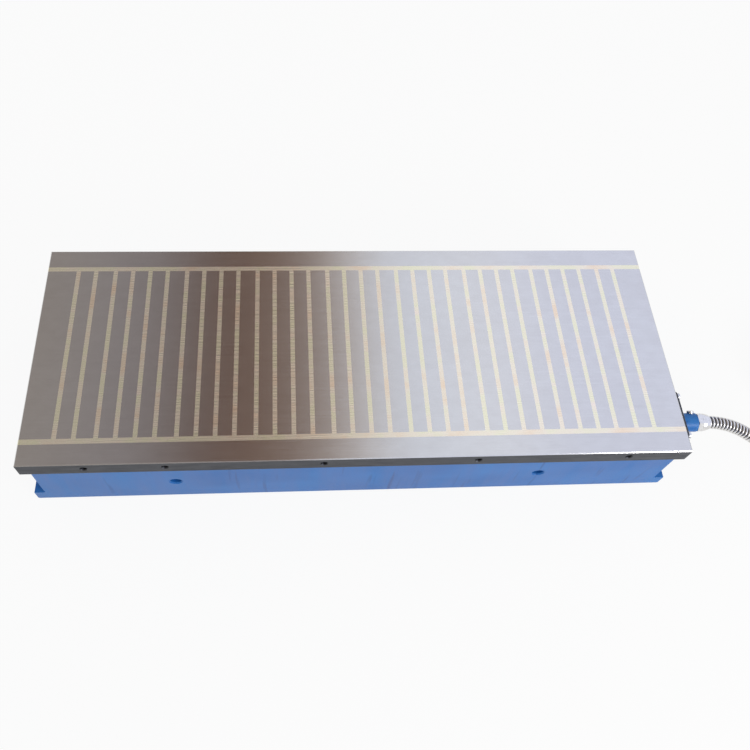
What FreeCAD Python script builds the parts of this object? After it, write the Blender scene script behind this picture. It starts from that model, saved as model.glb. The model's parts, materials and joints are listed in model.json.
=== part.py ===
import FreeCAD, Part
import math
import os
import re
import Sketcher

# Rectangular electromagnetic chuck: a brazed pole plate on a steel body with sixteen coils,
# clamping feet at both ends, a terminal box on the right end and a flexible metal conduit.
# Frame: origin at the middle of the underside, +X to the conduit end, +Y back, +Z up. Millimetres.

doc = FreeCAD.newDocument("MagneticChuck")
sizes = doc.addObject("Spreadsheet::Sheet", "Sizes")
trial = doc.addObject("Spreadsheet::Sheet", "Trial")
Vector = FreeCAD.Vector

drivingSizes = (
    # pole plate
    ("plateWidth", 300), ("plateThick", 26), ("plateChamfer", 1), ("endPole", 37.3),
    ("railWidth", 26), ("longStrip", 6.5), ("crossStrip", 5.5),
    ("poleWidth", 17), ("widePole", 19.8), ("groupCount", 8),
    ("stopHole", 8.5), ("stopHoleDepth", 20), ("stopHoleMouth", 10.5),
    # body
    ("bedThick", 21), ("ledgeCut", 1), ("frameHeight", 63), ("frameInset", 13), ("sideWall", 28),
    ("wideRib", 16), ("thinRib", 10), ("bedEdge", 1.5),
    ("liftHole", 14), ("liftHoleDepth", 20), ("liftHoleMouth", 17), ("liftSpacing", 450),
    ("liftHeight", 48), ("rearLiftGroups", 5),
    # bolts through the bed and the side walls into the rails
    ("boltCount", 5), ("boltDia", 10), ("boltHead", 16), ("boltHeadHigh", 10), ("boltGrip", 20),
    ("boltSocket", 8), ("boltSocketDepth", 5), ("boltClear", 0.5), ("threadClear", 0.05),
    ("headClear", 1), ("headSunk", 2), ("tapSpare", 2),
    # cores, coils and sealing
    ("coreWidth", 14), ("coreEnd", 9), ("coilClear", 0.5), ("coilThick", 7.5), ("coilHeight", 45),
    ("coilCorner", 6), ("pottingThick", 4), ("sealWidth", 4), ("sealDepth", 3),
    ("sealMargin", 2.5),
    ("wireDia", 3), ("wireInset", 4.5), ("wireNotch", 6),
    # terminal box
    ("boxInset", 62), ("boxDrop", 2), ("boxLift", 3), ("boxWide", 66), ("boxDepth", 26),
    ("boxWall", 4), ("boxBack", 3), ("boxPost", 8), ("boxCorner", 6), ("gasketThick", 1),
    ("coverThick", 4), ("coverEdge", 1), ("coverScrew", 5), ("coverScrewLong", 14),
    ("screwHead", 8.5), ("screwHeadHigh", 3), ("screwClear", 0.25),
    ("boxScrewInset", 6), ("boxScrewLong", 12),
    ("blockWide", 32), ("blockHigh", 20), ("blockDepth", 12), ("blockRaise", 13),
    ("terminalWide", 16), ("terminalHigh", 10), ("terminalScrew", 4), ("terminalScrewLong", 8),
    ("terminalHead", 7), ("terminalHeadHigh", 2.5),
    ("leadPitch", 8), ("leadTail", 8), ("leadClear", 0.5),
    # conduit fitting
    ("nippleDia", 24.6), ("nippleLong", 27.8), ("nippleEdge", 1.2), ("spigotDia", 20),
    ("spigotSpare", 1), ("nippleThread", 18), ("fittingBore", 13),
    ("locknutFlats", 27), ("locknutThick", 4), ("glandFlats", 22), ("glandThick", 6.5),
    ("ferruleDia", 22.6), ("ferruleLong", 9.7), ("ferruleTip", 19.4), ("ferruleStraight", 4),
    ("ferruleClear", 0.3),
    ("clampScrew", 5), ("clampScrewLong", 7), ("clampScrewAt", 20.5), ("clampScrewTilt", 35),
    # conduit and its coil
    ("conduitDia", 17), ("coilRadius", 102), ("coilAway", 247.7), ("coilAside", 63),
    ("tailReach", 165),
    ("tieThick", 1.2), ("tieWide", 8), ("tieClear", 0.4),
    # connector at the far end
    ("plugHeight", 14.5), ("shellRear", 21), ("shellRearLong", 18), ("shellCollar", 25),
    ("shellCollarLong", 8), ("shellNose", 19), ("shellNoseLong", 16), ("shellBore", 15),
    ("shellBoreDepth", 12), ("ringDia", 28), ("ringLong", 18), ("ringWeb", 4), ("ringMouth", 24),
    ("ringClear", 0.08), ("ringPlay", 0.3), ("clipDia", 22), ("clipThick", 1.2),
    ("clipGroove", 0.8), ("insertThick", 6), ("pinDia", 3), ("pinLong", 12), ("pinPitch", 7),
)
workedOutSizes = (
    ("narrowPitch", "poleWidth + crossStrip"),
    ("widePitch", "widePole + crossStrip"),
    ("groupPitch", "3 * narrowPitch + widePitch"),
    ("patternLength", "(groupCount - 1) * groupPitch"),
    ("fieldHalf", "(groupCount * groupPitch - narrowPitch + crossStrip) / 2"),
    ("fieldDepth", "plateWidth - 2 * railWidth - 2 * longStrip"),
    ("plateLength", "2 * (fieldHalf + endPole)"),
    ("frameLength", "plateLength - 2 * frameInset"),
    ("plateBase", "bedThick + frameHeight"),
    ("cellWide", "(groupPitch - wideRib - thinRib) / 2"),
    ("cellOffset", "(wideRib + cellWide) / 2"),
    ("cellDepth", "plateWidth - 2 * sideWall"),
    ("cellsLength", "groupCount * groupPitch - thinRib"),
    ("poleOffset", "(widePitch + narrowPitch) / 2"),
    ("coreLength", "cellDepth - 2 * coreEnd"),
    ("pottingBase", "bedThick + coilHeight"),
    ("pottingTop", "pottingBase + pottingThick"),
    ("boltSpacing", "2 * groupPitch"),
    ("boltInset", "sideWall / 2"),
    ("seatDepth", "boltHeadHigh + headSunk"),
    ("boltLong", "plateBase - seatDepth + boltGrip - tapSpare"),
    ("boxHigh", "frameHeight - boxDrop - boxLift"),
    ("boxCentreY", "plateWidth / 2 - boxInset"),
    ("boxCentreZ", "plateBase - boxDrop - boxHigh / 2"),
    ("frameEnd", "frameLength / 2"),
    ("coverBack", "frameEnd + boxDepth + gasketThick"),
    ("coverFace", "coverBack + coverThick"),
    ("boxInsideWide", "boxWide - 2 * boxWall"),
    ("boxInsideHigh", "boxHigh - 2 * boxWall"),
    ("boxScrewPitch", "boxInsideWide - 2 * boxScrewInset"),
    ("coverScrewWide", "boxWide - boxWall - boxPost"),
    ("coverScrewHigh", "boxHigh - boxWall - boxPost"),
    ("postWide", "boxInsideWide / 2 - boxPost"),
    ("postHigh", "boxInsideHigh / 2 - boxPost"),
    ("glandSeat", "coverFace + nippleLong"),
    ("ferruleSeat", "glandSeat + glandThick"),
    ("coilX", "ferruleSeat + coilAway"),
    ("coilY", "coilAside - boxCentreY"),
)


def fillSheet():
    """Write every size into its own cell and give the cell its name."""
    row = 0
    for name, number in drivingSizes:
        row += 1
        sizes.set(f"A{row}", name)
        sizes.set(f"B{row}", str(number))
        sizes.setAlias(f"B{row}", name)
    doc.recompute()
    for name, formula in workedOutSizes:
        row += 1
        sizes.set(f"A{row}", name)
        sizes.set(f"B{row}", "=" + formula)
        sizes.setAlias(f"B{row}", name)
        doc.recompute()


fillSheet()
sizeNames = {name for name, _ in drivingSizes + workedOutSizes}
halfTurn = FreeCAD.Rotation(Vector(0, 0, 1), 180)
quarterTurn = FreeCAD.Rotation(Vector(0, 0, 1), 90)


def tied(formula):
    """A formula in size names, written so that any object can use it."""
    return re.sub(r"[A-Za-z]\w*", lambda m: "Sizes." + m[0] if m[0] in sizeNames else m[0], formula)


def size(formula):
    """What a formula in size names comes to now, worked out on a sheet of its own."""
    trial.set("A1", "=" + tied(formula))
    trial.recompute()
    return float(trial.get("A1"))


# ---- helpers: bodies, sketches and features ----


def newBody(label, x="0", y="0", z="0", turn=None):
    """An empty body whose place is tied to the sheet; turn is a rotation about its origin."""
    body = doc.addObject("PartDesign::Body", label)
    body.Label = label
    body.Placement = FreeCAD.Placement(Vector(), turn or FreeCAD.Rotation())
    for axis, formula in zip("xyz", (x, y, z)):
        body.setExpression(f".Placement.Base.{axis}", tied(formula))
    return body


def newSketch(body, plane, lift="0"):
    """A sketch on one of the body's own origin planes, lifted off it along its normal."""
    sketch = body.newObject("Sketcher::SketchObject", body.Label + "_sketch")
    origin = next(o for o in body.Origin.OriginFeatures if o.Role == plane)
    sketch.AttachmentSupport = [(origin, "")]
    sketch.MapMode = "FlatFace"
    sketch.setExpression(".AttachmentOffset.Base.z", tied(lift))
    return sketch


def dimension(sketch, kind, where, formula):
    index = sketch.addConstraint(Sketcher.Constraint(kind, *where, size(formula)))
    sketch.setExpression(f"Constraints[{index}]", tied(formula))


def fixPoint(sketch, geometry, corner, x, y):
    dimension(sketch, "DistanceX", (-1, 1, geometry, corner), x)
    dimension(sketch, "DistanceY", (-1, 1, geometry, corner), y)


def addRectangle(sketch, wide, deep, x="0", y="0"):
    """A rectangle about its centre point, which stands at x, y."""
    middle = Vector(size(x), size(y), 0)
    halfWide = size(wide) / 2
    halfDeep = size(deep) / 2
    signs = ((-1, -1), (1, -1), (1, 1), (-1, 1))
    corners = [middle + Vector(halfWide * a, halfDeep * b, 0) for a, b in signs]
    lines = [
        sketch.addGeometry(Part.LineSegment(corners[i], corners[(i + 1) % 4]), False)
        for i in range(4)
    ]
    centre = sketch.addGeometry(Part.Point(middle), True)
    for i in range(4):
        sketch.addConstraint(Sketcher.Constraint("Coincident", lines[i], 2, lines[(i + 1) % 4], 1))
        way = "Horizontal" if i % 2 == 0 else "Vertical"
        sketch.addConstraint(Sketcher.Constraint(way, lines[i]))
    sketch.addConstraint(Sketcher.Constraint("Symmetric", lines[0], 1, lines[1], 2, centre, 1))
    dimension(sketch, "DistanceX", (lines[0], 1, lines[0], 2), wide)
    dimension(sketch, "DistanceY", (lines[1], 1, lines[1], 2), deep)
    fixPoint(sketch, centre, 1, x, y)
    return lines[0]


def addCircle(sketch, diameter, x="0", y="0"):
    circle = Part.Circle(Vector(size(x), size(y), 0), Vector(0, 0, 1), size(diameter) / 2)
    index = sketch.addGeometry(circle, False)
    dimension(sketch, "Diameter", (index,), diameter)
    fixPoint(sketch, index, 3, x, y)


def addHexagon(sketch, flats):
    """A hexagon about the sketch's origin, with a flat at the top and the bottom."""
    radius = size(flats) / 2 / math.cos(math.pi / 6)
    corners = [
        Vector(radius * math.cos(math.radians(60 * i)), radius * math.sin(math.radians(60 * i)), 0)
        for i in range(6)
    ]
    lines = [
        sketch.addGeometry(Part.LineSegment(corners[i], corners[(i + 1) % 6]), False)
        for i in range(6)
    ]
    round_ = sketch.addGeometry(Part.Circle(Vector(), Vector(0, 0, 1), radius), True)
    sketch.addConstraint(Sketcher.Constraint("Coincident", round_, 3, -1, 1))
    for i in range(6):
        sketch.addConstraint(Sketcher.Constraint("Coincident", lines[i], 2, lines[(i + 1) % 6], 1))
        sketch.addConstraint(Sketcher.Constraint("PointOnObject", lines[i], 1, round_))
        if i:
            sketch.addConstraint(Sketcher.Constraint("Equal", lines[0], lines[i]))
    sketch.addConstraint(Sketcher.Constraint("Horizontal", lines[1]))
    dimension(sketch, "DistanceY", (lines[4], 1, lines[1], 1), flats)


def addProfile(sketch, points):
    """A closed outline of straight sides through points given as pairs of formulas."""
    places = [Vector(size(x), size(y), 0) for x, y in points]
    count = len(places)
    lines = [
        sketch.addGeometry(Part.LineSegment(places[i], places[(i + 1) % count]), False)
        for i in range(count)
    ]
    for i, (x, y) in enumerate(points):
        sketch.addConstraint(
            Sketcher.Constraint("Coincident", lines[i - 1], 2, lines[i], 1)
        )
        fixPoint(sketch, lines[i], 1, x, y)


def pad(body, sketch, length):
    feature = body.newObject("PartDesign::Pad", body.Label + "_pad")
    feature.Profile = sketch
    feature.setExpression("Length", tied(length))
    doc.recompute()
    return feature


def pocket(body, sketch, depth=None, upwards=False):
    """Cut a sketch into the body, right through where no depth is given."""
    before = body.Shape.Volume
    feature = body.newObject("PartDesign::Pocket", body.Label + "_pocket")
    feature.Profile = sketch
    feature.Reversed = upwards
    if depth is None:
        feature.Type = "ThroughAll"
    else:
        feature.setExpression("Length", tied(depth))
    doc.recompute()
    if not body.Shape.Volume < before:
        raise RuntimeError(body.Label + ": a pocket cuts nothing")
    return feature


def revolve(body, sketch, axis="H_Axis", degrees=360, backwards=False):
    feature = body.newObject("PartDesign::Revolution", body.Label + "_turned")
    feature.Profile = sketch
    feature.ReferenceAxis = (sketch, [axis])
    feature.Angle = degrees
    feature.Reversed = backwards
    doc.recompute()
    return feature


def repeat(body, features, sketch, length, count, length2=None, count2="2"):
    """Repeat features along the sketch's first axis, and along its second one where asked."""
    pattern = body.newObject("PartDesign::LinearPattern", body.Label + "_pattern")
    pattern.Originals = features
    pattern.Direction = (sketch, ["H_Axis"])
    pattern.setExpression("Length", tied(length))
    pattern.setExpression("Occurrences", tied(count))
    if length2 is not None:
        pattern.Direction2 = (sketch, ["V_Axis"])
        pattern.setExpression("Length2", tied(length2))
        pattern.setExpression("Occurrences2", tied(count2))
    body.Tip = pattern
    doc.recompute()


def edgeNames(shape, wanted):
    """The names of the edges whose two ends both pass a test on their place."""
    return [
        f"Edge{i}"
        for i, edge in enumerate(shape.Edges, 1)
        if len(edge.Vertexes) == 2 and wanted(edge.Vertexes[0].Point, edge.Vertexes[1].Point)
    ]


def dress(kind, body, base, wanted, formula):
    """A chamfer or a fillet on the edges that pass the test."""
    feature = body.newObject("PartDesign::" + kind, body.Label + "_" + kind.lower())
    names = edgeNames(base.Shape, wanted)
    if not names:
        raise RuntimeError(body.Label + ": no edge to dress")
    feature.Base = (base, names)
    feature.setExpression("Size" if kind == "Chamfer" else "Radius", tied(formula))
    body.Tip = feature
    doc.recompute()
    return feature


def near(a, b):
    return abs(a - b) < 1e-4


# ---- pole plate ----


def makeRail(label, front):
    """A solid steel rail along one side: its outer face is at y = 0 in its own frame."""
    place = "-plateWidth / 2" if front else "plateWidth / 2"
    body = newBody(label, y=place, z="plateBase", turn=None if front else halfTurn)
    outline = newSketch(body, "XY_Plane")
    addRectangle(outline, "plateLength", "railWidth", y="railWidth / 2")
    block = pad(body, outline, "plateThick")
    top = size("plateThick")
    end = size("plateLength / 2")

    def outerTopEdge(a, b):
        atTop = near(a.z, top) and near(b.z, top)
        alongFront = near(a.y, 0) and near(b.y, 0)
        atEnd = near(abs(a.x), end) and near(a.x, b.x)
        return atTop and (alongFront or atEnd)

    dress("Chamfer", body, block, outerTopEdge, "plateChamfer")
    taps = newSketch(body, "XY_Plane")
    addCircle(taps, "boltDia + 2 * threadClear", "-(boltCount - 1) / 2 * boltSpacing", "boltInset")
    hole = pocket(body, taps, "boltGrip", upwards=True)
    repeat(body, [hole], taps, "(boltCount - 1) * boltSpacing", "boltCount")
    if front:
        drillStopHoles(body)


def drillStopHoles(body):
    """Tapped holes for a side stop, opposite five of the wide poles."""
    centres = newSketch(body, "XZ_Plane")
    for groups in (-3.5, -2.5, -0.5, 1.5, 3.5):
        addCircle(centres, "stopHole", f"{groups} * groupPitch", "plateThick / 2")
    drill(body, centres, "stop_holes", "stopHole", "stopHoleDepth", "stopHoleMouth")


def makeEndPole(label, left):
    """The wide steel pole at one end: its outer face is at x = 0 in its own frame."""
    place = "-plateLength / 2" if left else "plateLength / 2"
    body = newBody(label, x=place, z="plateBase", turn=None if left else halfTurn)
    outline = newSketch(body, "XY_Plane")
    addRectangle(outline, "endPole", "fieldDepth", x="endPole / 2")
    block = pad(body, outline, "plateThick")
    top = size("plateThick")
    dress(
        "Chamfer", body, block,
        lambda a, b: near(a.z, top) and near(b.z, top) and near(a.x, 0) and near(b.x, 0),
        "plateChamfer",
    )


def makeLongStrip(label, side):
    """A non-magnetic strip between a rail and the poles, from end to end."""
    body = newBody(label, y=f"{side} * (plateWidth / 2 - railWidth - longStrip / 2)", z="plateBase")
    outline = newSketch(body, "XY_Plane")
    addRectangle(outline, "plateLength", "longStrip")
    block = pad(body, outline, "plateThick")
    top = size("plateThick")
    end = size("plateLength / 2")
    dress(
        "Chamfer", body, block,
        lambda a, b: near(a.z, top) and near(b.z, top) and near(abs(a.x), end) and near(a.x, b.x),
        "plateChamfer",
    )


def makeBars(label, widths, offsets, count="groupCount", shift="0"):
    """Bars across the plate, repeated once for each pole group."""
    body = newBody(label, x=f"{shift} - patternLength / 2", z="plateBase")
    outline = newSketch(body, "XY_Plane")
    for offset in offsets:
        addRectangle(outline, widths, "fieldDepth", x=offset)
    block = pad(body, outline, "plateThick")
    repeat(body, [block], outline, f"({count} - 1) * groupPitch", count)


def makePlate():
    makeRail("front_rail", front=True)
    makeRail("rear_rail", front=False)
    makeEndPole("left_end_pole", left=True)
    makeEndPole("right_end_pole", left=False)
    makeLongStrip("front_long_strip", -1)
    makeLongStrip("rear_long_strip", 1)
    makeBars("north_pole_bars", "poleWidth", ("-poleOffset", "poleOffset"))
    makeBars("wide_south_bars", "widePole", ("0",))
    makeBars("narrow_south_bars", "poleWidth", ("0",), "(groupCount - 1)", "groupPitch / 2")
    inner = "widePitch / 2"
    outer = "(widePitch / 2 + narrowPitch)"
    makeBars("cross_strips", "crossStrip", ("-" + outer, "-" + inner, inner, outer))


# ---- body ----

boltRows = ("(boltCount - 1) * boltSpacing", "boltCount", "plateWidth - 2 * boltInset")


def makeBodyFrame():
    """The steel frame: side walls, end walls, and a rib under every south pole."""
    body = newBody("body_frame", z="bedThick")
    outline = newSketch(body, "XY_Plane")
    addRectangle(outline, "frameLength", "plateWidth")
    pad(body, outline, "frameHeight")

    cells = newSketch(body, "XY_Plane", "frameHeight")
    for side in "-+":
        addRectangle(cells, "cellWide", "cellDepth", x=f"-patternLength / 2 {side} cellOffset")
    cut = pocket(body, cells)
    repeat(body, [cut], cells, "patternLength", "groupCount")

    notch = newSketch(body, "XY_Plane", "frameHeight")
    addRectangle(notch, "cellsLength - cellWide", "wireNotch", y="cellDepth / 2 - wireInset")
    pocket(body, notch, "plateBase - pottingTop")

    groove = newSketch(body, "XY_Plane", "frameHeight")
    addSealOutline(groove)
    pocket(body, groove, "sealDepth")

    bolts = newSketch(body, "XY_Plane", "frameHeight")
    addBoltRow(bolts, "boltDia + 2 * boltClear")
    hole = pocket(body, bolts)
    repeat(body, [hole], bolts, *boltRows)

    drillLiftHoles(body, front=True)
    drillLiftHoles(body, front=False)
    drillFrameEnd(body)


def addBoltRow(sketch, diameter):
    """The first bolt of the two rows."""
    start = "-(boltCount - 1) / 2 * boltSpacing"
    addCircle(sketch, diameter, start, "-(plateWidth / 2 - boltInset)")


def addSealOutline(sketch):
    """The two outlines of the seal's path round the coil cells."""
    addRectangle(sketch, "cellsLength + 2 * sealMargin", "cellDepth + 2 * sealMargin")
    grown = "2 * (sealMargin + sealWidth)"
    addRectangle(sketch, f"cellsLength + {grown}", f"cellDepth + {grown}")


def drill(body, sketch, label, diameter, depth, mouth, inwards=True):
    """Blind holes at a sketch's circles, with a drill point and a countersunk mouth."""
    doc.recompute()
    hole = body.newObject("PartDesign::Hole", label)
    hole.Profile = sketch
    hole.DepthType = "Dimension"
    hole.DrillPoint = "Angled"
    hole.HoleCutType = "Countersink"
    hole.HoleCutCustomValues = True
    hole.HoleCutCountersinkAngle = 90
    hole.Reversed = not inwards
    hole.setExpression("Diameter", tied(diameter))
    hole.setExpression("Depth", tied(depth))
    hole.setExpression("HoleCutDiameter", tied(mouth))
    body.Tip = hole
    before = body.Shape.Volume
    doc.recompute()
    if not body.Shape.Volume < before:
        raise RuntimeError(body.Label + ": a hole cuts nothing")


def drillLiftHoles(body, front):
    """Tapped holes for lifting eyes, two in a side wall."""
    sketch = newSketch(body, "XZ_Plane", "plateWidth / 2" if front else "-plateWidth / 2")
    spacing = "liftSpacing" if front else "(rearLiftGroups * groupPitch)"
    for side in ("-", ""):
        addCircle(sketch, "liftHole", f"{side}{spacing} / 2", "liftHeight - bedThick")
    name = "front_lift_holes" if front else "rear_lift_holes"
    drill(body, sketch, name, "liftHole", "liftHoleDepth", "liftHoleMouth", inwards=front)


def drillFrameEnd(body):
    """Holes in the right end wall: one for each lead, and the taps for the box screws."""
    leads = newSketch(body, "YZ_Plane", "frameEnd")
    for side in "-+":
        addCircle(
            leads, "wireDia + 2 * leadClear",
            f"-boxCentreY {side} leadPitch / 2", "pottingTop + wireDia / 2 - bedThick",
        )
    pocket(body, leads, "frameEnd - patternLength / 2 - cellOffset")
    taps = newSketch(body, "YZ_Plane", "frameEnd")
    for side in "-+":
        addCircle(
            taps, "coverScrew + 2 * threadClear",
            f"-boxCentreY {side} boxScrewPitch / 2", "boxCentreZ - bedThick",
        )
    pocket(body, taps, "boxScrewLong + tapSpare - boxBack")


def makeBed():
    """The bottom plate, which closes the magnetic circuit; its ends are the clamping feet."""
    body = newBody("bed_plate")
    outline = newSketch(body, "XY_Plane")
    addRectangle(outline, "plateLength", "plateWidth")
    block = pad(body, outline, "bedThick")
    end = size("plateLength / 2")
    dress(
        "Chamfer", body, block,
        lambda a, b: near(a.z, 0) and near(b.z, 0) and near(abs(a.x), end) and near(a.x, b.x),
        "bedEdge",
    )
    for side in ("-", ""):
        ledge = newSketch(body, "XY_Plane", "bedThick")
        middle = f"{side}(frameEnd + frameInset / 2)"
        addRectangle(ledge, "frameInset", "plateWidth", x=middle)
        pocket(body, ledge, "ledgeCut")
    holes = newSketch(body, "XY_Plane", "bedThick")
    addBoltRow(holes, "boltDia + 2 * boltClear")
    cut = pocket(body, holes)
    repeat(body, [cut], holes, *boltRows)
    seats = newSketch(body, "XY_Plane")
    addBoltRow(seats, "boltHead + 2 * headClear")
    cut = pocket(body, seats, "seatDepth", upwards=True)
    repeat(body, [cut], seats, *boltRows)


def makeBolts():
    """Socket screws from below, through the bed and the side walls into the rails."""
    start = "-(boltCount - 1) / 2 * boltSpacing"
    body = newBody("plate_bolts", start, "boltInset - plateWidth / 2", "seatDepth")
    section = newSketch(body, "XZ_Plane")
    addProfile(section, (
        ("0", "-boltHeadHigh"), ("boltHead / 2", "-boltHeadHigh"), ("boltHead / 2", "0"),
        ("boltDia / 2", "0"), ("boltDia / 2", "boltLong"), ("0", "boltLong"),
    ))
    turned = revolve(body, section, "V_Axis")
    socket = newSketch(body, "XY_Plane", "-boltHeadHigh")
    addHexagon(socket, "boltSocket")
    recess = pocket(body, socket, "boltSocketDepth", upwards=True)
    repeat(body, [turned, recess], socket, *boltRows)


def makeCores():
    """The iron cores under the north poles, two in each group."""
    body = newBody("pole_cores", x="-patternLength / 2", z="bedThick")
    outline = newSketch(body, "XY_Plane")
    for offset in ("-poleOffset", "poleOffset"):
        addRectangle(outline, "coreWidth", "coreLength", x=offset)
    block = pad(body, outline, "frameHeight")
    repeat(body, [block], outline, "patternLength", "groupCount")


def makeCoil(number):
    """One winding round its core."""
    group = (number - 1) // 2
    side = "-" if number % 2 else "+"
    place = f"-patternLength / 2 + {group} * groupPitch {side} poleOffset"
    body = newBody(f"coil_{number:02d}", x=place, z="bedThick")
    outline = newSketch(body, "XY_Plane")
    addRectangle(outline, "coreWidth + 2 * coilClear", "coreLength + 2 * coilClear")
    grown = "2 * (coilClear + coilThick)"
    addRectangle(outline, f"coreWidth + {grown}", f"coreLength + {grown}")
    block = pad(body, outline, "coilHeight")
    outside = size(f"(coreWidth + {grown}) / 2")
    dress(
        "Fillet", body, block,
        lambda a, b: near(abs(a.x), outside) and near(a.x, b.x) and near(a.y, b.y),
        "coilCorner",
    )


def makePotting():
    """Resin over every coil, filling the cell round the core."""
    body = newBody("potting", x="-patternLength / 2", z="pottingBase")
    outline = newSketch(body, "XY_Plane")
    for side in "-+":
        addRectangle(outline, "cellWide", "cellDepth", x=f"0 {side} cellOffset")
        addRectangle(outline, "coreWidth", "coreLength", x=f"0 {side} poleOffset")
    block = pad(body, outline, "pottingThick")
    repeat(body, [block], outline, "patternLength", "groupCount")


def makeSeal():
    body = newBody("plate_seal", z="plateBase - sealDepth")
    outline = newSketch(body, "XY_Plane")
    addSealOutline(outline)
    pad(body, outline, "sealDepth")


def makeWires():
    """The wire that joins the coils, and the two leads from the last cell to the terminals."""
    joining = newBody(
        "series_wire",
        x="-(cellsLength - cellWide) / 2",
        y="cellDepth / 2 - wireInset",
        z="pottingTop + wireDia / 2",
    )
    section = newSketch(joining, "YZ_Plane")
    addCircle(section, "wireDia")
    pad(joining, section, "cellsLength - cellWide")

    leads = newBody(
        "lead_wires",
        x="cellsLength / 2 - leadTail",
        y="-boxCentreY",
        z="pottingTop + wireDia / 2",
    )
    section = newSketch(leads, "YZ_Plane")
    for side in ("-", ""):
        addCircle(section, "wireDia", side + "leadPitch / 2")
    pad(leads, section, "frameEnd + boxBack - cellsLength / 2 + leadTail")


def makeBody():
    makeBodyFrame()
    makeBed()
    makeBolts()
    makeCores()
    for number in range(1, 2 * round(size("groupCount")) + 1):
        makeCoil(number)
    makePotting()
    makeSeal()
    makeWires()


# ---- terminal box ----


def boxBody(label, x):
    """A body on the box's own centre line; x is where its back face stands."""
    return newBody(label, x, "-boxCentreY", "boxCentreZ")


def addOpening(sketch):
    """The inside of the box: a rectangle with a square post standing in each corner."""
    wide, high = "boxInsideWide / 2", "boxInsideHigh / 2"
    inWide, inHigh = "postWide", "postHigh"
    quarter = ((wide, inHigh), (inWide, inHigh), (inWide, high))
    corners = list(quarter)
    corners += [("-" + x, y) for x, y in reversed(quarter)]
    corners += [("-" + x, "-" + y) for x, y in quarter]
    corners += [(x, "-" + y) for x, y in reversed(quarter)]
    addProfile(sketch, corners)


def addCoverHoles(sketch, diameter):
    for across in ("-", ""):
        for up in ("-", ""):
            addCircle(sketch, diameter, across + "coverScrewWide / 2", up + "coverScrewHigh / 2")


def roundCorners(body, block):
    side = size("boxWide / 2")
    return dress(
        "Fillet", body, block,
        lambda a, b: near(abs(a.y), side) and near(a.y, b.y) and near(a.z, b.z),
        "boxCorner",
    )


def makeBox():
    body = boxBody("terminal_box", "frameEnd")
    outline = newSketch(body, "YZ_Plane")
    addRectangle(outline, "boxWide", "boxHigh")
    roundCorners(body, pad(body, outline, "boxDepth"))
    inside = newSketch(body, "YZ_Plane", "boxDepth")
    addOpening(inside)
    pocket(body, inside, "boxDepth - boxBack")
    taps = newSketch(body, "YZ_Plane", "boxDepth")
    addCoverHoles(taps, "coverScrew + 2 * threadClear")
    pocket(body, taps, "coverScrewLong + tapSpare - coverThick - gasketThick")
    back = newSketch(body, "YZ_Plane", "boxBack")
    for side in ("-", ""):
        addCircle(back, "coverScrew + 2 * screwClear", side + "boxScrewPitch / 2")
        wireHeight = "pottingTop + wireDia / 2 - boxCentreZ"
        addCircle(back, "wireDia + 2 * leadClear", side + "leadPitch / 2", wireHeight)
    pocket(body, back)


def makeGasket():
    body = boxBody("box_gasket", "frameEnd + boxDepth")
    outline = newSketch(body, "YZ_Plane")
    addRectangle(outline, "boxWide", "boxHigh")
    addOpening(outline)
    addCoverHoles(outline, "coverScrew + 2 * screwClear")
    roundCorners(body, pad(body, outline, "gasketThick"))


def makeCover():
    body = boxBody("box_cover", "coverBack")
    outline = newSketch(body, "YZ_Plane")
    addRectangle(outline, "boxWide", "boxHigh")
    addCoverHoles(outline, "coverScrew + 2 * screwClear")
    addCircle(outline, "spigotDia + 2 * screwClear")
    rounded = roundCorners(body, pad(body, outline, "coverThick"))
    face = size("coverThick")
    far = size("boxHigh / 2")
    dress(
        "Chamfer", body, rounded,
        lambda a, b: near(a.x, face) and near(b.x, face) and near(a.z, far) and near(b.z, far),
        "coverEdge",
    )


def makeScrews(body, dia, length, head, headHigh, wide="0", high="0"):
    """Cap screws along the body's X axis, heads outwards, in one or two rows."""
    section = newSketch(body, "XZ_Plane")
    addProfile(section, (
        (f"-{length}", "0"), (headHigh, "0"), (headHigh, f"{head} / 2"), ("0", f"{head} / 2"),
        ("0", f"{dia} / 2"), (f"-{length}", f"{dia} / 2"),
    ))
    turned = revolve(body, section)
    if wide != "0":
        face = newSketch(body, "YZ_Plane")
        rows = (high, "2") if high != "0" else ()
        repeat(body, [turned], face, wide, "2", *rows)


def rowBody(label, x, wide, high="0", raised="0"):
    """A body at the first screw of a block of them about the box's centre line."""
    return newBody(label, x, f"-boxCentreY - {wide} / 2", f"boxCentreZ + {raised} - {high} / 2")


def makeBoxScrews():
    head = ("screwHead", "screwHeadHigh")
    spread = ("coverScrewWide", "coverScrewHigh")
    body = rowBody("cover_screws", "coverFace", *spread)
    makeScrews(body, "coverScrew", "coverScrewLong", *head, *spread)
    body = rowBody("box_screws", "frameEnd + boxBack", "boxScrewPitch")
    makeScrews(body, "coverScrew", "boxScrewLong", *head, "boxScrewPitch")
    spread = ("terminalWide", "terminalHigh")
    body = rowBody("terminal_screws", "frameEnd + boxBack + blockDepth", *spread, "blockRaise")
    head = ("terminalHead", "terminalHeadHigh")
    makeScrews(body, "terminalScrew", "terminalScrewLong", *head, *spread)


def makeTerminalBlock():
    body = newBody(
        "terminal_block", "frameEnd + boxBack", "-boxCentreY", "boxCentreZ + blockRaise"
    )
    outline = newSketch(body, "YZ_Plane")
    addRectangle(outline, "blockWide", "blockHigh")
    pad(body, outline, "blockDepth")
    taps = newSketch(body, "YZ_Plane", "blockDepth")
    for across in ("-", ""):
        for up in ("-", ""):
            place = (across + "terminalWide / 2", up + "terminalHigh / 2")
            addCircle(taps, "terminalScrew + 2 * threadClear", *place)
    pocket(body, taps, "terminalScrewLong + tapSpare / 2")


# ---- conduit fitting ----


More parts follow.
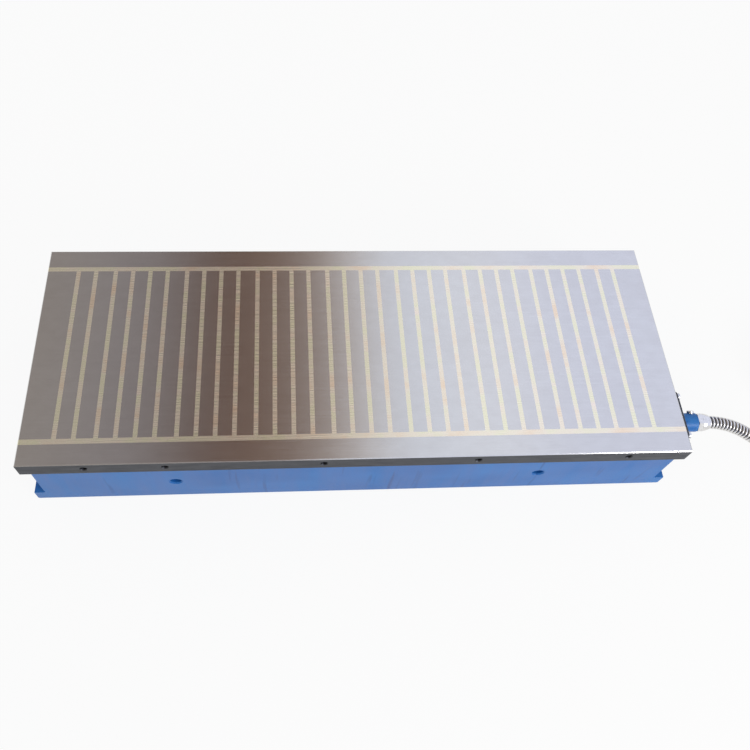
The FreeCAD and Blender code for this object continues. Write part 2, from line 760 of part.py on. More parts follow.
def addBored(body, outline, bore="fittingBore"):
    """A turned piece on the X axis with a bore through it."""
    section = newSketch(body, "XZ_Plane")
    inside = f"({bore}) / 2"
    addProfile(section, ((outline[0][0], inside), *outline, (outline[-1][0], inside)))
    return revolve(body, section)


def makeNut(label, x, flats, bore, thick):
    body = boxBody(label, x)
    outline = newSketch(body, "YZ_Plane")
    addHexagon(outline, flats)
    addCircle(outline, f"{bore} + 2 * threadClear")
    pad(body, outline, thick)


def makeNipple():
    tilt = size("clampScrewTilt")
    body = boxBody("conduit_nipple", "coverFace")
    body.Placement.Rotation = FreeCAD.Rotation(Vector(1, 0, 0), tilt)
    spigotEnd = "-(coverThick + locknutThick + spigotSpare)"
    threadEnd = "nippleLong + glandThick"
    addBored(body, (
        (spigotEnd, "spigotDia / 2"), ("0", "spigotDia / 2"), ("0", "nippleDia / 2"),
        ("nippleLong - nippleEdge", "nippleDia / 2"), ("nippleLong", "nippleDia / 2 - nippleEdge"),
        ("nippleLong", "nippleThread / 2"), (threadEnd, "nippleThread / 2"),
    ))
    tap = newSketch(body, "XZ_Plane")
    addCircle(tap, "clampScrew + 2 * threadClear", "clampScrewAt")
    pocket(body, tap)
    makeNut("nipple_locknut", "coverBack - locknutThick", "locknutFlats", "spigotDia", "locknutThick")
    makeNut("gland_nut", "glandSeat", "glandFlats", "nippleThread", "glandThick")

    outwards = Vector(0, math.cos(math.radians(tilt)), math.sin(math.radians(tilt)))
    screw = newBody(
        "nipple_clamp_screw", "coverFace + clampScrewAt",
        "-boxCentreY + nippleDia / 2 * cos(clampScrewTilt)",
        "boxCentreZ + nippleDia / 2 * sin(clampScrewTilt)",
        FreeCAD.Rotation(Vector(1, 0, 0), outwards),
    )
    makeScrews(screw, "clampScrew", "clampScrewLong", "screwHead", "screwHeadHigh")


def makeFerrules():
    """A sleeve on each end of the conduit, which runs inside it up to the fitting's face."""
    bore = "conduitDia + 2 * ferruleClear"
    body = boxBody("ferrule", "ferruleSeat")
    addBored(body, (
        ("0", "ferruleDia / 2"), ("ferruleStraight", "ferruleDia / 2"),
        ("ferruleLong", "ferruleTip / 2"),
    ), bore)
    body = plugBody("end_ferrule", "-ferruleLong")
    addBored(body, (
        ("0", "ferruleTip / 2"), ("ferruleLong - ferruleStraight", "ferruleDia / 2"),
        ("ferruleLong", "ferruleDia / 2"),
    ), bore)


# ---- conduit ----

conduitRoute = (
    ("ferruleSeat", "-boxCentreY", "boxCentreZ"),
    ("ferruleSeat + 12", "-boxCentreY", "boxCentreZ"),
    ("ferruleSeat + 31.8", "-boxCentreY - 2.1", "boxCentreZ - 1.2"),
    ("ferruleSeat + 50.8", "-boxCentreY - 7.3", "boxCentreZ - 4.5"),
    ("ferruleSeat + 68.2", "-boxCentreY - 15.5", "boxCentreZ - 10"),
    ("ferruleSeat + 89.2", "-boxCentreY - 24.4", "boxCentreZ - 18.6"),
    ("ferruleSeat + 112.5", "-boxCentreY - 31.4", "boxCentreZ - 29.4"),
    ("ferruleSeat + 138.8", "-boxCentreY - 36.2", "boxCentreZ - 38.8"),
    ("ferruleSeat + 167", "-boxCentreY - 39", "conduitDia / 2 + tieThick / 2"),
    ("coilX - 41", "coilY - coilRadius - 1", "conduitDia / 2 + tieThick / 2"),
    ("coilX", "coilY - coilRadius", "conduitDia / 2 + tieThick"),
)
tailRoute = (
    ("coilX + coilRadius", "coilY", "tieThick + 2.5 * conduitDia"),
    ("coilX + coilRadius", "coilY + 34", "tieThick + 2.5 * conduitDia"),
    ("coilX + coilRadius", "coilY + 67.2", "tieThick + 2.5 * conduitDia - 7.4"),
    ("coilX + coilRadius", "coilY + 97.9", "plugHeight + 7.4"),
    ("coilX + coilRadius", "coilY + tailReach - 34", "plugHeight"),
    ("coilX + coilRadius", "coilY + tailReach", "plugHeight"),
)


def tube(label, route, diameter):
    """A round tube along straight runs joined by arcs that touch both of their runs."""
    points = [Vector(*(size(part) for part in point)) for point in route]
    edges = []
    start = points[0]
    radii = []
    for before, corner, after in zip(points, points[1:], points[2:]):
        first = (corner - before).normalize()
        second = (after - corner).normalize()
        half = first.getAngle(second) / 2
        reach = 0.45 * min((corner - before).Length, (after - corner).Length)
        radius = reach / math.tan(half)
        inwards = (second - first).normalize()
        middle = corner + inwards * (radius / math.cos(half) - radius)
        enter = corner - first * reach
        leave = corner + second * reach
        edges.append(Part.LineSegment(start, enter).toShape())
        edges.append(Part.Arc(enter, middle, leave).toShape())
        radii.append(round(radius, 1))
        start = leave
    edges.append(Part.LineSegment(start, points[-1]).toShape())
    spine = Part.Wire(edges)
    ring = Part.Circle(points[0], points[1] - points[0], size(diameter) / 2)
    shape = spine.makePipeShell([Part.Wire(ring.toShape())], True, False)
    expected = math.pi * ring.Radius ** 2 * spine.Length
    print(f"{label}: length {spine.Length:.1f}, radii {radii}")
    print(f"{label}: volume {shape.Volume:.0f}, section times length {expected:.0f}")
    if abs(shape.Volume / expected - 1) > 0.005:
        raise RuntimeError(label + ": the tube is not whole")
    feature = doc.addObject("Part::Feature", label)
    feature.Label = label
    feature.Shape = shape


def makeConduitCoil():
    """The neat coil as its outer shape: two whole turns and the start of a third."""
    body = newBody("conduit_coil", "coilX", "coilY", "tieThick")
    turns = newSketch(body, "XZ_Plane")
    addRectangle(turns, "conduitDia", "2 * conduitDia", "coilRadius", "conduitDia")
    revolve(body, turns, "V_Axis")
    last = newSketch(body, "XZ_Plane")
    addRectangle(last, "conduitDia", "conduitDia", "coilRadius", "2.5 * conduitDia")
    revolve(body, last, "V_Axis", 160, backwards=True)


def makeTies():
    """Straps round the two lower turns, at the back and at the left of the coil."""
    body = newBody("coil_ties", "coilX", "coilY")
    for plane, place in (("YZ_Plane", "coilRadius"), ("XZ_Plane", "-coilRadius")):
        sketch = newSketch(body, plane, "-tieWide / 2")
        hollow = "conduitDia + 2 * tieClear"
        addRectangle(sketch, hollow, "2 * conduitDia", place, "tieThick + conduitDia")
        outside = f"{hollow} + 2 * tieThick"
        high = "2 * (conduitDia + tieThick)"
        addRectangle(sketch, outside, high, place, "tieThick + conduitDia")
        pad(body, sketch, "tieWide")


# ---- connector at the far end ----


def plugBody(label, along):
    """A body on the connector's axis, which runs backwards from the end of the conduit."""
    place = f"coilY + tailReach + {along}"
    return newBody(label, "coilX + coilRadius", place, "plugHeight", quarterTurn)


def makePlug():
    collarFace = "(shellRearLong + shellCollarLong)"
    clipFace = "ringPlay + ringWeb + ringPlay"
    body = plugBody("plug_shell", "0")
    section = newSketch(body, "XZ_Plane")
    noseEnd = f"{collarFace} + shellNoseLong"
    groove = "shellNose / 2 - clipGroove"
    addProfile(section, (
        ("0", "fittingBore / 2"), ("0", "shellRear / 2"), ("shellRearLong", "shellRear / 2"),
        ("shellRearLong", "shellCollar / 2"), (collarFace, "shellCollar / 2"),
        (collarFace, "shellNose / 2"), (f"{collarFace} + {clipFace}", "shellNose / 2"),
        (f"{collarFace} + {clipFace}", groove),
        (f"{collarFace} + {clipFace} + clipThick", groove),
        (f"{collarFace} + {clipFace} + clipThick", "shellNose / 2"),
        (noseEnd, "shellNose / 2"), (noseEnd, "shellBore / 2"),
        (f"{noseEnd} - shellBoreDepth", "shellBore / 2"),
        (f"{noseEnd} - shellBoreDepth", "fittingBore / 2"),
    ))
    revolve(body, section)

    ring = plugBody("coupling_ring", f"{collarFace} + ringPlay")
    section = newSketch(ring, "XZ_Plane")
    edge = "ringPlay * 3"
    addProfile(section, (
        ("0", "shellNose / 2 + ringClear"), ("0", f"ringDia / 2 - {edge}"),
        (edge, "ringDia / 2"), (f"ringLong - {edge}", "ringDia / 2"),
        ("ringLong", f"ringDia / 2 - {edge}"), ("ringLong", "ringMouth / 2"),
        ("ringWeb", "ringMouth / 2"), ("ringWeb", "shellNose / 2 + ringClear"),
    ))
    revolve(ring, section)

    clip = plugBody("ring_clip", f"{collarFace} + {clipFace}")
    section = newSketch(clip, "YZ_Plane")
    addCircle(section, "clipDia")
    addCircle(section, "shellNose - 2 * clipGroove")
    pad(clip, section, "clipThick")

    insert = plugBody("plug_insert", f"{noseEnd} - shellBoreDepth")
    section = newSketch(insert, "YZ_Plane")
    addCircle(section, "shellBore")
    for side in ("-", ""):
        addCircle(section, "pinDia", side + "pinPitch / 2")
    pad(insert, section, "insertThick")

    pins = plugBody("plug_pins", f"{noseEnd} - shellBoreDepth")
    section = newSketch(pins, "YZ_Plane")
    for side in ("-", ""):
        addCircle(section, "pinDia", side + "pinPitch / 2")
    pad(pins, section, "pinLong")


def exportPieces():
    """Check every object, then write each piece to its own file."""
    doc.removeObject(trial.Name)
    doc.recompute()
    for item in doc.Objects:
        if "Invalid" in item.State or "Error" in item.State:
            raise RuntimeError(item.Label + " is not sound")
    os.makedirs("parts", exist_ok=True)
    for item in doc.Objects:
        if item.TypeId not in ("PartDesign::Body", "Part::Feature"):
            continue
        if item.Shape.isNull() or not item.Shape.isValid():
            raise RuntimeError(item.Label + " has no sound shape")
        item.Shape.exportStep(f"parts/{item.Label}.step")
        box = item.Shape.BoundBox
        low = f"{box.XMin:.1f} {box.YMin:.1f} {box.ZMin:.1f}"
        high = f"{box.XMax:.1f} {box.YMax:.1f} {box.ZMax:.1f}"
        print(f"{item.Label}: {len(item.Shape.Solids)} solids, {low} to {high}")


makePlate()
makeBody()
makeBox()
makeGasket()
makeCover()
makeBoxScrews()
makeTerminalBlock()
makeNipple()
makeFerrules()
tube("conduit_run", conduitRoute, "conduitDia")
makeConduitCoil()
tube("conduit_tail", tailRoute, "conduitDia")
makeTies()
makePlug()
exportPieces()
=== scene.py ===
import json
import math

import bmesh
import bpy
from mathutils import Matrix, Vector


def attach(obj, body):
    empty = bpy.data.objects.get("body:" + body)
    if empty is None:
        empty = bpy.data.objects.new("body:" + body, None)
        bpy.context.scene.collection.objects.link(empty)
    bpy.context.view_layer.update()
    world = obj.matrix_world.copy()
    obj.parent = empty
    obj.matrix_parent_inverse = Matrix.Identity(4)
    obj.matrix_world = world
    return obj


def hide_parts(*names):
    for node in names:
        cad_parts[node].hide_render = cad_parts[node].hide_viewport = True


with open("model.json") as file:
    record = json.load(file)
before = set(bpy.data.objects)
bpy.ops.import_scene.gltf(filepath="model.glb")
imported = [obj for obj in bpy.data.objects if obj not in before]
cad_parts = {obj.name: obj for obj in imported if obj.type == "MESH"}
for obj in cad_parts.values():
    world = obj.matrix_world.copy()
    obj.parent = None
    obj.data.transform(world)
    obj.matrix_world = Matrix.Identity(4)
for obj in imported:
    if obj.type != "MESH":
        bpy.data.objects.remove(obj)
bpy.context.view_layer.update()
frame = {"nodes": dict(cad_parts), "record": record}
print("chuck loaded:", len(frame["nodes"]), "solids")


def newPiece(name, bm, body, finishes):
    mesh = bpy.data.meshes.new(name)
    bm.to_mesh(mesh)
    bm.free()
    piece = bpy.data.objects.new(name, mesh)
    bpy.context.scene.collection.objects.link(piece)
    for finish in finishes:
        mesh.materials.append(finish)
    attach(piece, body)
    return piece


def addNode(tree, kind, inputs=None, **settings):
    node = tree.nodes.new(kind)
    for key, value in settings.items():
        setattr(node, key, value)
    for key, value in (inputs or {}).items():
        if isinstance(value, bpy.types.NodeSocket):
            tree.links.new(value, node.inputs[key])
        else:
            node.inputs[key].default_value = value
    return node


def newFinish(name, roughness, metallic=0.0, **sockets):
    finish = bpy.data.materials.new(name)
    finish.use_nodes = True
    shader = finish.node_tree.nodes["Principled BSDF"]
    shader.inputs["Roughness"].default_value = roughness
    shader.inputs["Metallic"].default_value = metallic
    for key, value in sockets.items():
        shader.inputs[key.replace("_", " ")].default_value = value
    return finish, finish.node_tree, shader


def objectPlace(tree):
    return addNode(tree, "ShaderNodeTexCoord").outputs["Object"]


# noise in metres: size is the width of one patch, stretch lengthens it along an axis
def grain(tree, size, detail=3.0, stretch=(1, 1, 1), offset=(0, 0, 0)):
    mapping = addNode(tree, "ShaderNodeMapping", {
        "Vector": objectPlace(tree), "Location": offset,
        "Scale": tuple(1 / (size * s) for s in stretch)})
    noise = addNode(tree, "ShaderNodeTexNoise", {
        "Vector": mapping.outputs[0], "Scale": 1.0, "Detail": detail, "Roughness": 0.6})
    return noise.outputs[0]


def colours(tree, factor, stops):
    ramp = addNode(tree, "ShaderNodeValToRGB", {"Fac": factor})
    points = ramp.color_ramp.elements
    while len(points) < len(stops):
        points.new(0.5)
    for point, (place, colour) in zip(points, stops):
        point.position = place
        point.color = (*colour, 1)
    return ramp.outputs["Color"]


def values(tree, factor, low, high, fromLow=0.3, fromHigh=0.7):
    node = addNode(tree, "ShaderNodeMapRange", {
        "Value": factor, "From Min": fromLow, "From Max": fromHigh, "To Min": low, "To Max": high})
    return node.outputs[0]


def mixed(tree, factor, first, second):
    node = addNode(tree, "ShaderNodeMix", data_type="RGBA")
    for index, value in ((0, factor), (6, first), (7, second)):
        if isinstance(value, bpy.types.NodeSocket):
            tree.links.new(value, node.inputs[index])
        else:
            node.inputs[index].default_value = value if index == 0 else (*value, 1)
    return node.outputs[2]


def maths(tree, operation, *parts):
    node = addNode(tree, "ShaderNodeMath", operation=operation)
    for index, part in enumerate(parts):
        if isinstance(part, bpy.types.NodeSocket):
            tree.links.new(part, node.inputs[index])
        else:
            node.inputs[index].default_value = part
    return node.outputs[0]


def roughen(tree, shader, height, depth, strength=1.0):
    bump = addNode(tree, "ShaderNodeBump", {
        "Height": height, "Distance": depth, "Strength": strength})
    tree.links.new(bump.outputs[0], shader.inputs["Normal"])


cameraPlace = {
    "place": (-0.0944, -0.4871, 0.992),
    "turn": (31.663, -3.4377, -2.6594),
    "lens": 38.208,
    "shift": (0.0436, -0.0867),
}

eye = bpy.data.cameras.new("chuckCamera")
eye.lens = cameraPlace["lens"]
eye.sensor_width = 36
eye.shift_x, eye.shift_y = cameraPlace["shift"]
eye.clip_start = 0.01
camera = bpy.data.objects.new("chuckCamera", eye)
camera.location = cameraPlace["place"]
camera.rotation_euler = [math.radians(a) for a in cameraPlace["turn"]]
bpy.context.scene.collection.objects.link(camera)
bpy.context.scene.camera = camera
print("camera placed")


conduit = {
    "run": [(0.4523, -0.088, 0.053), (0.4643, -0.088, 0.053), (0.4841, -0.0901, 0.0518),
            (0.5031, -0.0953, 0.0485), (0.5205, -0.1035, 0.043), (0.5415, -0.1124, 0.0344),
            (0.5648, -0.1194, 0.0236), (0.5911, -0.1242, 0.0142), (0.6193, -0.127, 0.0091),
            (0.659, -0.128, 0.0091), (0.7, -0.1275, 0.0097)],
    "coilCentre": (0.7, -0.025),
    "coilRadius": 0.102,
    "pointsPerTurn": 16,
    "turned": 810,  # degrees, two and a quarter turns
    "levels": (0.0097, 0.0267, 0.0437),
    "climbs": ((290, 328), (650, 688)),
    "tail": [(0.802, -0.025, 0.0437), (0.802, 0.009, 0.0437), (0.802, 0.0422, 0.0363),
             (0.802, 0.0729, 0.0219), (0.802, 0.106, 0.0145), (0.802, 0.14, 0.0145)],
    "diameter": 0.017,
    "grooveRadius": 0.0073,
    # the strip's section over one pitch: (share of the pitch, radius)
    "strip": ((0, 0.0073), (0.05, 0.0081), (0.16, 0.0085), (0.42, 0.0085),
              (0.56, 0.0081), (0.62, 0.0073), (1, 0.0073)),
    "pitch": 0.0046,
    "sides": 20,
    "mergeWithin": 0.00004,
}


def coilHeight(turned):
    height = conduit["levels"][0]
    for (start, end), low, high in zip(conduit["climbs"], conduit["levels"], conduit["levels"][1:]):
        height += (high - low) * min(1, max(0, (turned - start) / (end - start)))
    return height


def conduitPoints():
    points = list(conduit["run"])
    step = 360 / conduit["pointsPerTurn"]
    # a spline runs inside its points, so the turns' points stand a little further out
    radius = conduit["coilRadius"] / (0.75 + 0.25 * math.cos(math.radians(step)))
    turned = step
    while turned < conduit["turned"] - 1:
        angle = math.radians(turned - 90)
        points.append((conduit["coilCentre"][0] + radius * math.cos(angle),
                       conduit["coilCentre"][1] + radius * math.sin(angle), coilHeight(turned)))
        turned += step
    return points + conduit["tail"]


def makeConduitLine():
    line = bpy.data.curves.new("conduitLine", "CURVE")
    line.dimensions = "3D"
    line.resolution_u = 12
    spline = line.splines.new("NURBS")
    points = conduitPoints()
    spline.points.add(len(points) - 1)
    for point, place in zip(spline.points, points):
        point.co = (*place, 1)
    spline.order_u = 3
    spline.use_endpoint_u = True
    holder = bpy.data.objects.new("conduitLine", line)
    bpy.context.scene.collection.objects.link(holder)
    bpy.context.view_layer.update()
    read = bpy.data.meshes.new_from_object(holder)
    path = [v.co.copy() for v in read.vertices]
    bpy.data.meshes.remove(read)
    return holder, path


# one turn of the wound strip: a raised band and the groove beside it
def makeStripTurn(pitch):
    bm = bmesh.new()
    verts = [bm.verts.new((share * pitch, 0, radius)) for share, radius in conduit["strip"]]
    for first, second in zip(verts, verts[1:]):
        bm.edges.new((first, second))
    bmesh.ops.spin(bm, geom=bm.verts[:] + bm.edges[:], cent=(0, 0, 0), axis=(1, 0, 0),
                   dvec=(pitch / conduit["sides"], 0, 0), angle=math.tau,
                   steps=conduit["sides"], use_duplicate=False)
    for face in bm.faces:
        middle = face.calc_center_median()
        # groove faces take the second slot, the painted groove shade
        face.material_index = int(math.hypot(middle.y, middle.z) < conduit["grooveRadius"] + 0.0001)
    return bm


def makeConduit():
    holder, path = makeConduitLine()
    length = sum((b - a).length for a, b in zip(path, path[1:]))
    turns = round(length / conduit["pitch"]) - 1
    pitch = length / (turns + 1)
    bm = makeStripTurn(pitch)
    mesh = bpy.data.meshes.new("conduitHose")
    bm.to_mesh(mesh)
    bm.free()
    hose = bpy.data.objects.new("conduitHose", mesh)
    bpy.context.scene.collection.objects.link(hose)
    wind = hose.modifiers.new("wind", "ARRAY")
    wind.count = turns
    wind.use_relative_offset = False
    wind.use_constant_offset = True
    wind.constant_offset_displace = (pitch, 0, 0)
    bend = hose.modifiers.new("bend", "CURVE")
    bend.object = holder
    bpy.context.view_layer.update()
    shown = hose.evaluated_get(bpy.context.evaluated_depsgraph_get())
    shaped = bpy.data.meshes.new_from_object(shown)
    bpy.data.objects.remove(hose)
    bpy.data.objects.remove(holder)
    bm = bmesh.new()
    bm.from_mesh(shaped)
    bmesh.ops.remove_doubles(bm, verts=bm.verts, dist=conduit["mergeWithin"])
    rims = [e for e in bm.edges if e.is_boundary]
    bmesh.ops.holes_fill(bm, edges=rims, sides=0)
    bmesh.ops.recalc_face_normals(bm, faces=bm.faces)
    for face in bm.faces:
        face.smooth = True
    print("conduit:", round(length, 3), "m,", turns, "turns of strip")
    return bm, path, length


conduitShape, conduitPath, conduitLength = makeConduit()


steelLook = {
    "ground": (0.63, 0.625, 0.62),
    "groundDark": (0.56, 0.55, 0.545),
    "groundBright": (0.69, 0.69, 0.69),
    "groundWorn": (0.52, 0.50, 0.49),
    "side": (0.055, 0.058, 0.066),
    "sidePale": (0.095, 0.098, 0.108),
    "sideRoughness": 0.42,
    "roughBand": (0.20, 0.27),
    "lineWidth": 0.0004,  # one grinding line, which runs along x
    "lineStretch": (160, 1, 6),
    "lineDepth": 0.00002,
    "cloudSize": 0.012,
    "wornSize": 0.09,
    "roughness": 0.23,
    "groundFrom": 0.1088,  # the face and its chamfer are ground; the sides are as milled, and their colour is a painted dark reflection of a dark floor
}


def grindingLines(tree):
    return grain(tree, steelLook["lineWidth"], 2.0, steelLook["lineStretch"])


# the lines run along x, so reflections spread along y
def spreadAlongY(tree, shader):
    across = addNode(tree, "ShaderNodeCombineXYZ", {"Y": 1.0})
    tree.links.new(across.outputs[0], shader.inputs["Tangent"])


def makeGroundSteel():
    finish, tree, shader = newFinish("groundSteel", steelLook["roughness"], 1.0, Anisotropic=0.85)
    lines = grindingLines(tree)
    clouds = grain(tree, steelLook["cloudSize"], 4.0, (1.6, 1, 1))
    worn = grain(tree, steelLook["wornSize"], 3.0, (1, 1, 1), (3, 1, 7))
    ground = mixed(tree, values(tree, lines, 0.0, 1.0), steelLook["groundDark"],
                   steelLook["ground"])
    ground = mixed(tree, values(tree, clouds, 0.0, 0.35), ground, steelLook["groundBright"])
    ground = mixed(tree, values(tree, worn, 0.0, 0.25), ground, steelLook["groundWorn"])
    # the milled sides: steel tone painted dark, a painted reflection of a dark floor that is not in
    # the room
    side = colours(tree, grain(tree, 0.004, 5.0, (6, 1, 1)),
                   [(0.3, steelLook["side"]), (0.7, steelLook["sidePale"])])
    height = addNode(tree, "ShaderNodeSeparateXYZ", {"Vector": objectPlace(tree)}).outputs["Z"]
    top = maths(tree, "GREATER_THAN", height, steelLook["groundFrom"])
    tree.links.new(mixed(tree, top, side, ground), shader.inputs["Base Color"])
    rough = addNode(tree, "ShaderNodeMix", {
        0: top, 2: steelLook["sideRoughness"], 3: values(tree, lines, *steelLook["roughBand"])})
    tree.links.new(rough.outputs[0], shader.inputs["Roughness"])
    spreadAlongY(tree, shader)
    roughen(tree, shader, lines, steelLook["lineDepth"], 0.5)
    return finish


brassLook = {
    "roughness": 0.27,
    "roughBand": (0.24, 0.32),
    "metallic": 0.72,
    "tarnishSize": 0.05,
    "tarnish": [(0.3, (0.90, 0.73, 0.56)), (0.46, (0.90, 0.82, 0.68)),
                (0.6, (0.86, 0.84, 0.62)), (0.74, (0.92, 0.80, 0.70))],
    "line": (0.78, 0.67, 0.50),
    "lineDepth": 0.00001,
}


def makeBrass():
    finish, tree, shader = newFinish("brassStrip", brassLook["roughness"], brassLook["metallic"],
                                     Anisotropic=0.8)
    lines = grindingLines(tree)
    tarnish = grain(tree, brassLook["tarnishSize"], 3.0, (1, 0.7, 1), (2, 5, 1))
    base = colours(tree, tarnish, brassLook["tarnish"])
    base = mixed(tree, values(tree, lines, 0.0, 0.12), base, brassLook["line"])
    tree.links.new(base, shader.inputs["Base Color"])
    tree.links.new(values(tree, lines, *brassLook["roughBand"]), shader.inputs["Roughness"])
    spreadAlongY(tree, shader)
    roughen(tree, shader, lines, brassLook["lineDepth"], 0.2)
    return finish


paintLook = {
    "colour": (0.014, 0.15, 0.50),
    "pale": (0.045, 0.22, 0.58),
    "shade": (0.010, 0.11, 0.40),
    "streak": (0.012, 0.07, 0.28),
    "roughness": 0.34,
}


def makeBluePaint():
    finish, tree, shader = newFinish("bluePaint", paintLook["roughness"], Specular_IOR_Level=0.3)
    brush = grain(tree, 0.02, 4.0, (1, 1, 9))
    patches = grain(tree, 0.11, 2.0, (1.3, 1, 0.7), (1, 8, 2))
    drips = grain(tree, 0.03, 2.0, (0.4, 0.4, 5), (5, 2, 4))
    skin = grain(tree, 0.0016, 3.0)
    base = mixed(tree, values(tree, brush, 0.0, 0.75, 0.35, 0.65), paintLook["colour"],
                 paintLook["pale"])
    base = mixed(tree, values(tree, patches, 0.0, 0.5, 0.4, 0.65), base, paintLook["shade"])
    base = mixed(tree, values(tree, drips, 0.0, 0.7, 0.6, 0.72), base, paintLook["streak"])
    tree.links.new(base, shader.inputs["Base Color"])
    tree.links.new(values(tree, brush, 0.28, 0.46), shader.inputs["Roughness"])
    height = maths(tree, "ADD", maths(tree, "MULTIPLY", skin, 0.4), brush)
    roughen(tree, shader, height, 0.0003, 0.6)
    return finish


# one colour clouded from low to high, in patches of the size given in metres
def makePlain(name, roughness, metallic, low, high, size, stretch=(1, 1, 1), depth=0.0001):
    finish, tree, shader = newFinish(name, roughness, metallic)
    cloud = grain(tree, size, 4.0, stretch)
    tree.links.new(colours(tree, cloud, [(0.3, low), (0.7, high)]), shader.inputs["Base Color"])
    tree.links.new(values(tree, cloud, roughness * 0.8, roughness * 1.25),
                   shader.inputs["Roughness"])
    roughen(tree, shader, grain(tree, size * 0.15, 3.0, stretch), depth, 0.5)
    return finish


def makeConduitBand():
    finish, tree, shader = newFinish("conduitBand", 0.2, 1.0)
    smear = grain(tree, 0.008, 4.0)
    tree.links.new(colours(tree, smear, [(0.3, (0.62, 0.60, 0.58)), (0.6, (0.80, 0.79, 0.78))]),
                   shader.inputs["Base Color"])
    tree.links.new(values(tree, smear, 0.14, 0.30), shader.inputs["Roughness"])
    return finish


# each slot: name, roughness, metallic, darker and lighter colour, patch size
plainLooks = {
    "core_iron": ("coreIron", 0.6, 0.8,
        (0.20, 0.19, 0.19), (0.32, 0.31, 0.31), 0.006),
    "coil_tape": ("coilTape", 0.7, 0.0,
        (0.52, 0.45, 0.30), (0.70, 0.63, 0.45), 0.008, (3, 3, 1), 0.0003),
    "resin": ("pottingResin", 0.25, 0.0,
        (0.02, 0.02, 0.022), (0.05, 0.05, 0.055), 0.03),
    "black_rubber": ("blackRubber", 0.75, 0.0,
        (0.02, 0.02, 0.02), (0.045, 0.045, 0.045), 0.004),
    "black_oxide_steel": ("blackOxide", 0.42, 0.9,
        (0.045, 0.045, 0.05), (0.09, 0.09, 0.095), 0.003),
    "wire_sleeve": ("wireSleeve", 0.5, 0.0,
        (0.30, 0.02, 0.015), (0.45, 0.04, 0.03), 0.005),
    "dark_paint": ("darkPaint", 0.38, 0.0,
        (0.022, 0.027, 0.04), (0.045, 0.052, 0.075), 0.01, (1, 1, 2), 0.0002),
    "bright_steel": ("brightSteel", 0.24, 1.0,
        (0.52, 0.52, 0.53), (0.68, 0.68, 0.69), 0.002),
    "block_plastic": ("blockPlastic", 0.55, 0.0,
        (0.03, 0.03, 0.033), (0.055, 0.055, 0.06), 0.003),
    "nickel": ("nickelPlate", 0.2, 1.0,
        (0.62, 0.61, 0.60), (0.76, 0.75, 0.74), 0.004),
    "tie_plastic": ("tiePlastic", 0.45, 0.0,
        (0.018, 0.018, 0.018), (0.04, 0.04, 0.04), 0.002),
    "pin_brass": ("pinBrass", 0.25, 1.0,
        (0.62, 0.45, 0.18), (0.80, 0.62, 0.30), 0.003),
}
looks = {slot: makePlain(*settings) for slot, settings in plainLooks.items()}
looks.update({
    "ground_steel": makeGroundSteel(),
    "brass_strip": makeBrass(),
    "blue_paint": makeBluePaint(),
    "conduit_steel": makeConduitBand(),
})
# painted shade for the hose's grooves: the recesses between the windings are coloured near black
grooveShadePainted = makePlain("grooveShadePainted", 0.5, 1.0, (0.03, 0.028, 0.027), (0.09, 0.085, 0.08),
                       0.004)

for part in frame["record"]["subparts"]:
    solid = frame["nodes"][part["node"]]
    for materialSlot in solid.material_slots:
        materialSlot.material = looks[part["material_slot"]]
    if not solid.material_slots:
        solid.data.materials.append(looks[part["material_slot"]])


# the hose takes the place of its solids
# its bands take the steel finish, its grooves the painted groove shade
hose = newPiece("metalHose", conduitShape, "chuck",
                [looks["conduit_steel"], grooveShadePainted])
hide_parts("conduit_run", "conduit_coil", "conduit_tail")
print("hose laid")


studio = {
    "floorSize": 9.0,
    "floorColour": (0.8, 0.8, 0.8, 1),
    "floorWhite": 0.92,  # share of plain white in what is seen of the floor
    "skyColour": (0.97, 0.985, 1.0, 1),
    "skyStrength": 0.6,
    # what polished metal sees over it, by how far it leans left or right: (lean, colour)
    "walls": [(-0.34, (0.40, 0.36, 0.33)), (-0.24, (0.36, 0.33, 0.34)), (-0.17, (0.30, 0.27, 0.27)),
              (-0.11, (0.18, 0.115, 0.09)), (-0.06, (0.16, 0.085, 0.055)),
              (-0.03, (0.25, 0.155, 0.11)), (0.01, (0.23, 0.155, 0.12)),
              (0.07, (0.42, 0.33, 0.28)), (0.115, (0.88, 0.82, 0.76)),
              (0.15, (0.95, 1.02, 1.18)), (0.30, (1.08, 1.11, 1.20)), (0.40, (0.95, 1.0, 1.20))],
    "leanFrom": -0.4,
    "leanTo": 0.6,
    "frontLight": {"place": (1.15, -1.25, 0.75), "aim": (0.1, 0.0, 0.03), "size": 0.7,
                   "power": 11, "colour": (1.0, 0.99, 0.97)},
}


def makeFloor():
    bm = bmesh.new()
    bmesh.ops.create_grid(bm, x_segments=1, y_segments=1, size=studio["floorSize"] / 2)
    mesh = bpy.data.meshes.new("studioFloor")
    bm.to_mesh(mesh)
    bm.free()
    floor = bpy.data.objects.new("studioFloor", mesh)
    bpy.context.scene.collection.objects.link(floor)
    finish, tree, shader = newFinish("studioFloor", 0.9)
    shader.inputs["Base Color"].default_value = studio["floorColour"]
    shader.inputs["Specular IOR Level"].default_value = 0.0
    rays = addNode(tree, "ShaderNodeLightPath")
    seen = maths(tree, "MAXIMUM", rays.outputs["Is Camera Ray"],
                 maths(tree, "MAXIMUM", rays.outputs["Is Glossy Ray"],
                       rays.outputs["Is Transmission Ray"]))
    glow = addNode(tree, "ShaderNodeEmission", {"Strength": 1.0})
    share = maths(tree, "MULTIPLY", seen, studio["floorWhite"])
    both = addNode(tree, "ShaderNodeMixShader", {
        0: share, 1: shader.outputs[0], 2: glow.outputs[0]})
    tree.links.new(both.outputs[0], tree.nodes["Material Output"].inputs["Surface"])
    mesh.materials.append(finish)


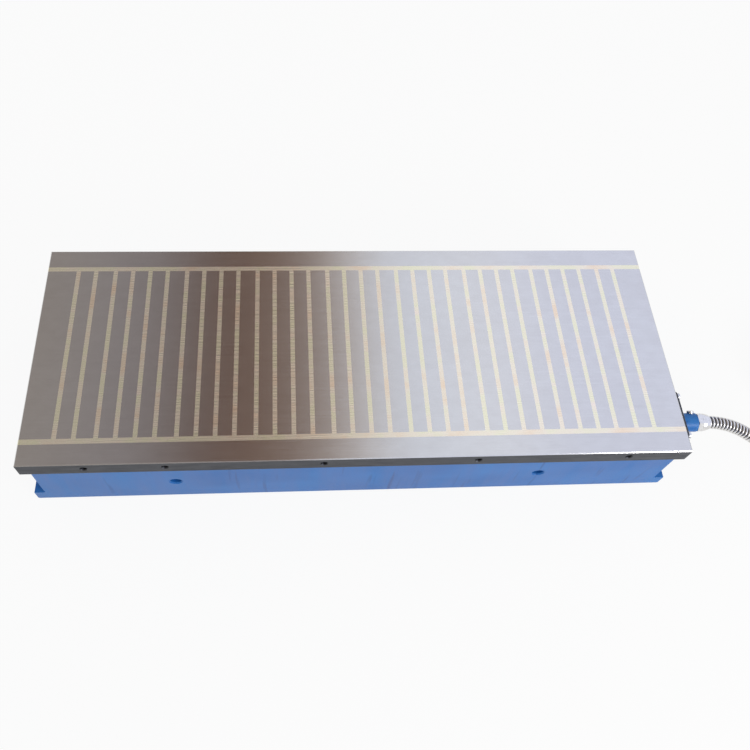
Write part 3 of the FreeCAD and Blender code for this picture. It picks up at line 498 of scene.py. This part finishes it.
def makeWorld():
    world = bpy.data.worlds.new("studioRoom")
    bpy.context.scene.world = world
    world.use_nodes = True
    tree = world.node_tree
    tree.nodes.clear()
    way = addNode(tree, "ShaderNodeSeparateXYZ", {
        "Vector": addNode(tree, "ShaderNodeTexCoord").outputs["Generated"]})
    lift = maths(tree, "MAXIMUM", way.outputs["Z"], 0.02)  # keeps clear of the horizon
    lean = maths(tree, "DIVIDE", way.outputs["X"], lift)
    span = studio["leanTo"] - studio["leanFrom"]
    factor = values(tree, lean, 0.0, 1.0, studio["leanFrom"], studio["leanTo"])
    walls = colours(tree, factor, [((leaning - studio["leanFrom"]) / span, colour)
                                   for leaning, colour in studio["walls"]])
    rays = addNode(tree, "ShaderNodeLightPath")
    sky = addNode(tree, "ShaderNodeBackground", {
        "Color": studio["skyColour"], "Strength": studio["skyStrength"]})
    room = addNode(tree, "ShaderNodeBackground", {"Color": walls, "Strength": 1.0})
    plain = addNode(tree, "ShaderNodeBackground", {"Color": (1, 1, 1, 1), "Strength": 1.0})
    lit = addNode(tree, "ShaderNodeMixShader", {
        0: rays.outputs["Is Glossy Ray"], 1: sky.outputs[0], 2: room.outputs[0]})
    seen = maths(tree, "MAXIMUM", rays.outputs["Is Camera Ray"],
                 rays.outputs["Is Transmission Ray"])
    both = addNode(tree, "ShaderNodeMixShader", {
        0: seen, 1: lit.outputs[0], 2: plain.outputs[0]})
    out = addNode(tree, "ShaderNodeOutputWorld")
    tree.links.new(both.outputs[0], out.inputs["Surface"])


def makeLight(name, settings):
    lamp = bpy.data.lights.new(name, "AREA")
    lamp.shape = "DISK"
    lamp.size = settings["size"]
    lamp.energy = settings["power"]
    lamp.color = settings["colour"]
    holder = bpy.data.objects.new(name, lamp)
    holder.location = settings["place"]
    aim = Vector(settings["aim"]) - Vector(settings["place"])
    holder.rotation_euler = aim.to_track_quat("-Z", "Y").to_euler()
    bpy.context.scene.collection.objects.link(holder)


makeFloor()
makeWorld()
makeLight("frontLight", studio["frontLight"])
bpy.context.scene.view_settings.view_transform = "Standard"
print("room lit")
